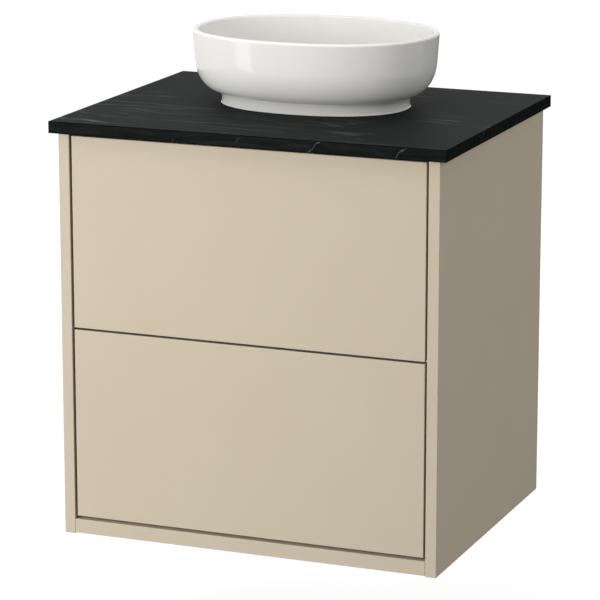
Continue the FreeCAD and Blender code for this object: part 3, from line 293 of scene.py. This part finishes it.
def melamine_board(name, light, dark):
    """Chipboard faced with melamine paper: an even colour under a fine pearl grain pressed at 1.2 mm,
    with a faint mottle in the paper."""
    material, tree, shader, place = start_material(name, Specular_IOR_Level=0.4)
    pearl = add(tree, "TexNoise", {"Scale": 1 / (1.2 * MM), "Detail": 2.0}, {"Vector": place})
    paper = add(tree, "TexNoise", {"Scale": 1 / (18 * MM), "Detail": 5.0}, {"Vector": place})
    tone = add(tree, "MixRGB", {"Color1": linear(light), "Color2": linear(dark)}, {"Fac": paper})
    gloss = add(tree, "MapRange", {"To Min": 0.38, "To Max": 0.56}, {"Value": pearl})
    grain = add(tree, "Bump", {"Strength": 0.25, "Distance": 0.06 * MM}, {"Height": pearl})
    join(tree, shader, {"Base Color": tone, "Roughness": gloss, "Normal": grain})
    return material


def beech():
    """Turned beech dowel: pale straight grain about 1.5 mm apart with short darker flecks along it."""
    material, tree, shader, place = start_material("turned_beech", Roughness=0.62)
    along = add(tree, "Mapping", {"Scale": (0.06, 1, 1)}, {"Vector": place})
    grain = add(tree, "TexNoise", {"Scale": 1 / (1.5 * MM), "Detail": 3.0}, {"Vector": along})
    wood = add(tree, "MixRGB", {"Color1": linear("D6B48A"), "Color2": linear("BE9564")}, {"Fac": grain})
    dash = add(tree, "Mapping", {"Scale": (0.25, 1, 1)}, {"Vector": place})
    fleck = add(tree, "TexVoronoi", {"Scale": 1 / (0.8 * MM)}, {"Vector": dash})
    mark = add(tree, "MapRange", {"From Max": 0.28, "To Min": 0.7, "To Max": 0.0}, {"Value": fleck})
    tone = add(tree, "MixRGB", {"Color2": linear("94693F")}, {"Fac": mark, "Color1": wood})
    fibre = add(tree, "Bump", {"Strength": 0.3, "Distance": 0.1 * MM}, {"Height": grain})
    join(tree, shader, {"Base Color": tone, "Normal": fibre})
    return material


def zinc_steel():
    """Rolled steel with bright zinc plate: a cool grey metal, cloudy where the bath left it, with faint
    rolling lines along the depth of the unit."""
    material, tree, shader, place = start_material("zinc_plated_steel", Metallic=1.0)
    cloud = add(tree, "TexNoise", {"Scale": 1 / (14 * MM), "Detail": 3.0}, {"Vector": place})
    tone = add(tree, "MixRGB", {"Color1": linear("C9CDD1"), "Color2": linear("AEB2B2")}, {"Fac": cloud})
    drawn = add(tree, "Mapping", {"Scale": (1, 0.02, 1)}, {"Vector": place})
    roll = add(tree, "TexNoise", {"Scale": 1 / (0.7 * MM), "Detail": 2.0}, {"Vector": drawn})
    gloss = add(tree, "MapRange", {"To Min": 0.24, "To Max": 0.46}, {"Value": roll})
    lines = add(tree, "Bump", {"Strength": 0.15, "Distance": 0.03 * MM}, {"Height": roll})
    join(tree, shader, {"Base Color": tone, "Roughness": gloss, "Normal": lines})
    return material


def bearing_steel():
    """Lapped bearing steel: a near mirror, dulled in patches by the finest lapping marks."""
    material, tree, shader, place = start_material("bearing_steel", Metallic=1.0)
    lap = add(tree, "TexNoise", {"Scale": 1 / (1.0 * MM), "Detail": 4.0}, {"Vector": place})
    tone = add(tree, "MixRGB", {"Color1": linear("D2D4D6"), "Color2": linear("C2C4C7")}, {"Fac": lap})
    gloss = add(tree, "MapRange", {"To Min": 0.1, "To Max": 0.24}, {"Value": lap})
    join(tree, shader, {"Base Color": tone, "Roughness": gloss})
    return material


def chrome_plate():
    """Bright chrome over polished brass: a cold clear mirror under a faint veil of dried water."""
    material, tree, shader, place = start_material("bright_chrome_plate", Metallic=1.0)
    veil = add(tree, "TexNoise", {"Scale": 1 / (7 * MM), "Detail": 4.0}, {"Vector": place})
    tone = add(tree, "MixRGB", {"Color1": linear("C9CCD0"), "Color2": linear("BBBFC4")}, {"Fac": veil})
    gloss = add(tree, "MapRange", {"From Min": 0.4, "From Max": 0.7, "To Min": 0.04, "To Max": 0.12},
                {"Value": veil})
    join(tree, shader, {"Base Color": tone, "Roughness": gloss})
    return material


def moulded_plastic(name, light, dark, gloss_low, gloss_high):
    """Injection moulded plastic: satin, with slow flow marks in the colour and the fine sparked grain of
    the mould, drawn at 0.8 mm so that it shows."""
    material, tree, shader, place = start_material(name, Specular_IOR_Level=0.45)
    flow = add(tree, "TexNoise", {"Scale": 1 / (25 * MM), "Detail": 2.0}, {"Vector": place})
    tone = add(tree, "MixRGB", {"Color1": linear(light), "Color2": linear(dark)}, {"Fac": flow})
    spark = add(tree, "TexNoise", {"Scale": 1 / (0.8 * MM), "Detail": 1.0}, {"Vector": place})
    gloss = add(tree, "MapRange", {"To Min": gloss_low, "To Max": gloss_high}, {"Value": spark})
    grain = add(tree, "Bump", {"Strength": 0.15, "Distance": 0.04 * MM}, {"Height": spark})
    join(tree, shader, {"Base Color": tone, "Roughness": gloss, "Normal": grain})
    return material


def moulded_rubber():
    """Moulded sealing rubber: dull black with a pale bloom in patches about 4 mm across."""
    material, tree, shader, place = start_material("black_sealing_rubber", Specular_IOR_Level=0.35)
    bloom = add(tree, "TexNoise", {"Scale": 1 / (4 * MM), "Detail": 4.0}, {"Vector": place})
    tone = add(tree, "MixRGB", {"Color1": linear("171717"), "Color2": linear("2B2B2A")}, {"Fac": bloom})
    gloss = add(tree, "MapRange", {"To Min": 0.65, "To Max": 0.9}, {"Value": bloom})
    join(tree, shader, {"Base Color": tone, "Roughness": gloss})
    return material


FINISHES = {
    "beige_foil": foil_board(),
    "marble_laminate": marble_laminate(),
    "white_glaze": sanitary_glaze(),
    "white_board": melamine_board("white_melamine", "DFDFDA", "D8D8D2"),
    "grey_board": melamine_board("grey_melamine", "AEAEAA", "A3A39F"),
    "beech": beech(),
    "zinc_steel": zinc_steel(),
    "bearing_steel": bearing_steel(),
    "chrome": chrome_plate(),
    "white_plastic": moulded_plastic("white_polypropylene", "E8E8E4", "DEDED8", 0.32, 0.46),
    "grey_plastic": moulded_plastic("grey_nylon", "8F9192", "828485", 0.4, 0.55),
    "black_rubber": moulded_rubber(),
}


def surface(name, node, points, material_slot, body):
    """A closed piece in place of a node, from a grid of points that wraps both ways: every cell of the grid
    is one face, and points that coincide, as on a turning axis, are welded."""
    rows, columns = points.shape[:2]
    index = np.arange(rows * columns).reshape(rows, columns)
    index = np.concatenate([index, index[:1]])
    index = np.concatenate([index, index[:, :1]], axis=1)
    faces = np.stack([index[:-1, :-1], index[:-1, 1:], index[1:, 1:], index[1:, :-1]], axis=-1)
    mesh = bpy.data.meshes.new(name)
    mesh.from_pydata(points.reshape(-1, 3), [], faces.reshape(-1, 4))
    weld = bmesh.new()
    weld.from_mesh(mesh)
    bmesh.ops.remove_doubles(weld, verts=weld.verts, dist=WELD_GAP * MM)
    loose = [edge for edge in weld.edges if not edge.link_faces]
    bmesh.ops.delete(weld, geom=loose, context="EDGES")
    bmesh.ops.recalc_face_normals(weld, faces=weld.faces)
    weld.to_mesh(mesh)
    weld.free()
    mesh.shade_smooth()
    mesh.materials.append(FINISHES[material_slot])
    piece = bpy.data.objects.new(name, mesh)
    bpy.context.scene.collection.objects.link(piece)
    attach(piece, body)
    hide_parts(node)


def node_box(node):
    """Lowest and highest corner of a node at rest, in millimetres."""
    return [np.array(corner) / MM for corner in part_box(node)]


def eased(corners):
    """A closed path through corners (across, high, ease). Each corner is a quadratic curve between the
    points that lie one ease away from it on its two sides."""
    corners = np.array(corners, float)
    spot, ease = corners[:, :2], corners[:, 2:]
    back = np.roll(spot, 1, axis=0) - spot
    ahead = np.roll(spot, -1, axis=0) - spot
    first = spot + ease * back / np.linalg.norm(back, axis=1, keepdims=True)
    last = spot + ease * ahead / np.linalg.norm(ahead, axis=1, keepdims=True)
    share = np.linspace(0, 1, EASE_STEPS)[None, :, None]
    inward = first[:, None] + share * (spot - first)[:, None]
    outward = spot[:, None] + share * (last - spot)[:, None]
    return (inward + share * (outward - inward)).reshape(-1, 2)


def stations(sizes, heights, is_round=False):
    """Rows of basin stations: the inset from the outer oval, or the radius about the drain where the station
    is round, then the height, and one where it is round, else nought."""
    sizes, heights, is_round = np.broadcast_arrays(np.atleast_1d(sizes), np.atleast_1d(heights), is_round)
    return np.stack([sizes, heights, is_round], axis=-1).astype(float)


def bend(inset, low, wall_inset, wall_top):
    """Stations of the bend from a level floor up into the leaning wall. The heading turns from nearly level
    to the wall's lean, ever more slowly, and the bend is as large as it must be to end on the wall's line."""
    share = np.linspace(0, 1, BEND_STEPS)
    upright = math.pi / 2 - WALL_LEAN
    heading = upright + (BEND_START - upright) * (1 - share) ** BEND_EASE
    middle = (heading[1:] + heading[:-1]) / 2
    outward = np.append(0, np.cumsum(np.cos(middle)))
    upward = np.append(0, np.cumsum(np.sin(middle)))
    slope = math.tan(WALL_LEAN)
    size = (inset - wall_inset - (wall_top - low) * slope) / (outward[-1] - upward[-1] * slope)
    return stations(inset - size * outward, low + size * upward)


def basin_profile(height):
    """The basin's closed section, from the foot's outer edge up the outside, over the rim, down to the drain
    and back under the floor. The foot's toe narrows by a power of its height, with its steps crowded where it
    curves most. The two halves of the rim are parts of ellipses that start in line with the walls."""
    rim = (BASIN_WALL - RIM_LAND) / 2
    lean = math.atan(math.tan(WALL_LEAN) * RIM_RISE / rim)
    outer = np.linspace(-lean, math.pi / 2, RIM_OUTER_STEPS)
    inner = np.linspace(math.pi / 2, math.pi - lean, RIM_INNER_STEPS)
    top = height - RIM_RISE
    flare = np.linspace(0, 1, FOOT_FLARE_STEPS) ** 2
    flat = BOWL_FLOOR - BOWL_FALL
    recess = flat - RECESS_DEPTH
    return np.concatenate([
        stations(FOOT_INSET - FOOT_FLARE + EDGE, 0),
        stations(FOOT_INSET - FOOT_FLARE, EDGE),
        stations(FOOT_INSET - FOOT_FLARE * (1 - flare) ** FOOT_FLARE_POWER, EDGE + FOOT_FLARE_RISE * flare),
        bend(FOOT_INSET, FOOT_HEIGHT, 0, top),
        stations(rim * (1 - np.cos(outer)), top + RIM_RISE * np.sin(outer)),
        stations(BASIN_WALL - rim * (1 + np.cos(inner)), top + RIM_RISE * np.sin(inner)),
        bend(BOWL_INSET, BOWL_FLOOR, BASIN_WALL, top)[::-1],
        stations(BOWL_FLAT_INSET, flat),
        stations([RECESS_RADIUS + EDGE, RECESS_RADIUS], [flat, flat - EDGE], True),
        stations([RECESS_RADIUS, RECESS_RADIUS - EDGE], [recess + EDGE, recess], True),
        stations([DRAIN_RADIUS + EDGE, DRAIN_RADIUS], [recess, recess - EDGE], True),
        stations([DRAIN_RADIUS, DRAIN_RADIUS + EDGE], [FLOOR_UNDER + EDGE, FLOOR_UNDER], True),
        stations(FOOT_INSET + FOOT_WALL + EDGE, FLOOR_UNDER),
        stations(FOOT_INSET + FOOT_WALL, FLOOR_UNDER - EDGE),
        stations(FOOT_INSET + FOOT_WALL, EDGE),
        stations(FOOT_INSET + FOOT_WALL - EDGE, 0),
    ])


def make_basin():
    """Basin surface over the turn and the section: x is the half width less the inset, times the cosine to a
    power with its sign kept. y is the half depth less the inset, times the sine alike. Where a station is
    round, both lie on a circle about the drain."""
    low, high = node_box("basin")
    half, middle = (high - low) / 2, (high + low) / 2
    turn = np.linspace(0, 2 * math.pi, BASIN_TURNS, endpoint=False)
    size, rise, is_round = basin_profile((high - low)[2]).T[..., None]
    flat = []
    for axis, way in enumerate([np.cos(turn), np.sin(turn)]):
        oval = np.sign(way) * np.abs(way) ** BASIN_POWER * (half[axis] - size)
        flat.append(middle[axis] + np.where(is_round > 0, way * size, oval))
    points = np.stack([*flat, np.broadcast_to(low[2] + rise, flat[0].shape)], axis=-1)
    surface("basin_glazed", "basin", points * MM, "white_glaze", "cabinet")


def turned(name, node, corners, centre, material_slot, axis=2, body="cabinet", grip=math.inf):
    """Turned piece: the eased section, of corners (radius, along, ease), swept through the turn round an axis
    through the centre. The axis is 1 for Y or 2 for Z. Where the radius is more than the grip, it is less by
    the rib depth times a power of the cosine of half the rib count times the turn."""
    section = eased(corners)
    turn = np.linspace(0, 2 * math.pi, TURNED_STEPS, endpoint=False)
    groove = NUT_RIB_DEPTH * np.cos(NUT_RIBS / 2 * turn) ** NUT_RIB_POWER
    radius = section[:, 0, None] - np.where(section[:, 0, None] > grip, groove, 0.0)
    points = np.zeros((*radius.shape, 3)) + centre
    points[..., 0] += radius * np.cos(turn)
    points[..., 3 - axis] += radius * np.sin(turn)
    points[..., axis] = section[:, 1, None]
    surface(name, node, points * MM, material_slot, body)


def make_plug():
    """Waste plug on its stem: its domed top falls by the sag times the square of the share of its radius."""
    low, high = node_box("waste_plug")
    bottom, top = low[2], high[2]
    under = top - PLUG_HEAD
    radius = (high - low)[0] / 2
    share = np.linspace(1, 0, DOME_STEPS)
    dome = np.stack([radius * share, top - PLUG_SAG * share ** 2, np.zeros(DOME_STEPS)], axis=-1)
    dome[0, 2] = PLUG_EASE
    stem = [(0, bottom, 0), (PLUG_STEM_RADIUS, bottom, PLUG_EASE), (PLUG_STEM_RADIUS, under, PLUG_EASE),
            (radius, under, PLUG_EASE)]
    turned("waste_plug_domed", "waste_plug", stem + dome.tolist(), (low + high) / 2, "chrome", body="plug")


def make_waste():
    """Waste: a tube under a flange that is thin at its edge and highest at its crown, and a plug seat."""
    low, high = node_box("waste_body")
    bottom, top = low[2], high[2]
    flange, seat = top - FLANGE_THICKNESS, top - SEAT_DEPTH
    radius = (high - low)[0] / 2
    section = [(WASTE_BORE, bottom, EASE), (WASTE_TUBE, bottom, EASE), (WASTE_TUBE, flange, EASE),
               (radius, flange, EASE), (radius, flange + FLANGE_EDGE, EASE), (FLANGE_CROWN, top, FLANGE_EASE),
               (SEAT_RADIUS, top - SEAT_FALL, EASE), (SEAT_RADIUS, seat, EASE), (WASTE_BORE, seat, EASE)]
    turned("waste_flange_and_tube", "waste_body", section, (low + high) / 2, "chrome")


def slip_nut(name, centre, height, pipe, wall, axis=2):
    """Ribbed slip nut: a ring with rounded edges about a pipe, with its middle at the centre."""
    bore, radius = pipe + NUT_CLEARANCE, pipe + wall
    low, high = centre[axis] - height / 2, centre[axis] + height / 2
    section = [(bore, low, EASE), (radius, low, NUT_EASE), (radius, high, NUT_EASE), (bore, high, EASE)]
    turned(name, "trap_nuts", section, centre, "white_plastic", axis=axis, grip=(bore + radius) / 2)


def make_trap_nuts():
    """Slip nuts where the trap comes apart: at the waste, between its pipes, at its neck and at its seam."""
    waste_low, waste_high = node_box("waste_body")
    rear_low, rear_high = node_box("rear_pipe")
    cup_low, cup_high = node_box("trap_cup")
    neck = node_box("trap_body")[1][2]
    top = node_box("trap_nuts")[1][2]
    pipe, cup = (rear_high - rear_low)[0] / 2, (cup_high - cup_low)[0] / 2
    across, deep = (cup_low + cup_high)[:2] / 2
    slip_nut("trap_union_nut", (across, rear_low[1], rear_high[2] - pipe), NUT_HEIGHT, pipe, NUT_WALL, axis=1)
    slip_nut("trap_neck_nut", (across, deep, neck + NUT_HEIGHT / 2), NUT_HEIGHT, pipe, NUT_WALL)
    slip_nut("trap_seam_nut", (across, deep, cup_high[2]), SEAM_NUT_HEIGHT, cup, SEAM_NUT_WALL)
    bottom, bore = top - INLET_NUT_HEIGHT, pipe + NUT_CLEARANCE
    web = bottom + INLET_NUT_WEB
    section = [(bore, bottom, EASE), (INLET_NUT_RADIUS, bottom, NUT_EASE), (INLET_NUT_RADIUS, top, NUT_EASE),
               (INLET_NUT_MOUTH, top, EASE), (INLET_NUT_MOUTH, web, EASE), (bore, web, EASE)]
    grip = (INLET_NUT_MOUTH + INLET_NUT_RADIUS) / 2
    turned("trap_inlet_nut", "trap_nuts", section, (waste_low + waste_high) / 2, "white_plastic", grip=grip)


def make_trap_cup():
    """Cup at the bottom of the trap: a thin wall with a well rounded floor."""
    low, high = node_box("trap_cup")
    bottom, top = low[2], high[2]
    radius = (high - low)[0] / 2
    inside, floor = radius - CUP_WALL, bottom + CUP_WALL
    section = [(0, bottom, 0), (radius, bottom, CUP_ROUND), (radius, top, EASE), (inside, top, EASE),
               (inside, floor, CUP_ROUND - CUP_WALL), (0, floor, 0)]
    turned("trap_cup_rounded", "trap_cup", section, (low + high) / 2, "white_plastic")


def paint_nodes():
    """Give every solid the finish of its material slot."""
    for entry in frame["record"]["subparts"]:
        materials = frame["nodes"][entry["node"]].data.materials
        materials.clear()
        materials.append(FINISHES[entry["material_slot"]])


def background_rays(tree):
    """One where the camera, a mirror or clear glass looks straight at the background, else nought."""
    path = add(tree, "LightPath")
    seen = add(tree, "Math", {"operation": "MAXIMUM"},
               {0: path.outputs["Is Camera Ray"], 1: path.outputs["Is Glossy Ray"]})
    return add(tree, "Math", {"operation": "MAXIMUM"}, {0: seen, 1: path.outputs["Is Transmission Ray"]})


def make_panel(name, corners, colour):
    """A matt panel of the stage between four corners, returned with its tree, shader and object
    coordinates."""
    mesh = bpy.data.meshes.new(name)
    mesh.from_pydata(corners, [], [(0, 1, 2, 3)])
    panel = bpy.data.objects.new(name, mesh)
    bpy.context.scene.collection.objects.link(panel)
    material, tree, shader, place = start_material(name, Base_Color=linear(colour), Roughness=1.0,
                                                   Specular_IOR_Level=0.0)
    mesh.materials.append(material)
    return panel, tree, shader, place


def make_floor():
    """A pale floor that keeps the shadow. A glow that only the camera, mirrors and glass see lifts it to
    white, and grows with the distance, because the lamps light the floor less out there."""
    edge = FLOOR_HALF
    corners = [(x, y, -FLOOR_DROP) for x, y in ((-edge, -edge), (edge, -edge), (edge, edge), (-edge, edge))]
    tree, shader, place = make_panel("pale_floor", corners, FLOOR_COLOUR)[1:]
    distance = add(tree, "VectorMath", {"operation": "LENGTH"}, {0: place}).outputs["Value"]
    graded = add(tree, "MapRange", {"interpolation_type": "SMOOTHSTEP", "From Min": GLOW_NEAR_AT,
                                    "From Max": GLOW_FAR_AT, "To Min": GLOW_NEAR, "To Max": GLOW_FAR},
                 {"Value": distance})
    glow = add(tree, "Math", {"operation": "MULTIPLY"}, {0: graded, 1: background_rays(tree)})
    shader.inputs["Emission Color"].default_value = linear(GLOW_COLOUR)
    join(tree, shader, {"Emission Strength": glow})


def make_card():
    """A grey card that only mirrors see. It gives the right edge of the glaze a soft dark outline against the
    white background, as such a card does in a studio."""
    corners = [(CARD_LEFT, CARD_DEEP, CARD_LOW), (CARD_RIGHT, CARD_DEEP, CARD_LOW),
               (CARD_RIGHT, CARD_DEEP, CARD_HIGH), (CARD_LEFT, CARD_DEEP, CARD_HIGH)]
    card = make_panel("grey_card", corners, CARD_COLOUR)[0]
    card.visible_camera = False
    card.visible_diffuse = False
    card.visible_transmission = False
    card.visible_shadow = False


def make_world():
    """Even studio light all round, and a white background for the camera, mirrors and glass."""
    world = bpy.data.worlds.new("studio")
    bpy.context.scene.world = world
    world.use_nodes = True
    tree = world.node_tree
    sky = tree.nodes["Background"]
    sky.inputs["Color"].default_value = linear(ROOM_COLOUR)
    strength = add(tree, "MapRange", {"To Min": ROOM_LIGHT, "To Max": BACKGROUND_LIGHT},
                   {"Value": background_rays(tree)})
    join(tree, sky, {"Strength": strength})


def softbox(name, place, size, power, aim=LAMP_AIM, mirrored=False):
    """A rectangular lamp aimed at a point. It either lights the object or only shows in its mirrors."""
    lamp = bpy.data.lights.new(name, "AREA")
    lamp.shape = "RECTANGLE"
    lamp.size, lamp.size_y = size
    lamp.energy = power
    box = bpy.data.objects.new(name, lamp)
    box.location = place
    box.rotation_mode = "QUATERNION"
    box.rotation_quaternion = (Vector(aim) - Vector(place)).to_track_quat("-Z", "Y")
    box.visible_glossy = mirrored
    box.visible_diffuse = not mirrored
    bpy.context.scene.collection.objects.link(box)
    return box


def make_lights():
    """A broad low key from the front left, weak light from the top, the side and the back, and a tall strip
    that only the glaze mirrors, left of its middle, because it would clip bare steel to white."""
    for name, lamp in SOFTBOXES.items():
        softbox(name, **lamp)
    strip = softbox("strip_lamp", STRIP_PLACE, STRIP_SIZE, STRIP_POWER, STRIP_AIM, mirrored=True)
    glazed = bpy.data.collections.new("glazed_pieces")
    glazed.objects.link(bpy.data.objects["basin_glazed"])
    strip.light_linking.receiver_collection = glazed


def make_camera():
    """A long lens from above right, at the photograph's viewing angle. It is tilted down without shift,
    because every other view would keep the shift."""
    camera = bpy.data.cameras.new("camera")
    camera.sensor_width = CAMERA_SENSOR
    camera.lens = CAMERA_LENS
    camera.clip_end = CAMERA_REACH
    view = bpy.data.objects.new("camera", camera)
    view.location = CAMERA_PLACE
    view.rotation_euler = (math.radians(90 - CAMERA_TILT), 0, math.radians(CAMERA_TURN))
    bpy.context.scene.collection.objects.link(view)
    bpy.context.scene.camera = view


paint_nodes()
make_basin()
make_plug()
make_waste()
make_trap_nuts()
make_trap_cup()
make_floor()
make_card()
make_world()
make_lights()
make_camera()
bpy.context.scene.view_settings.view_transform = "Standard"
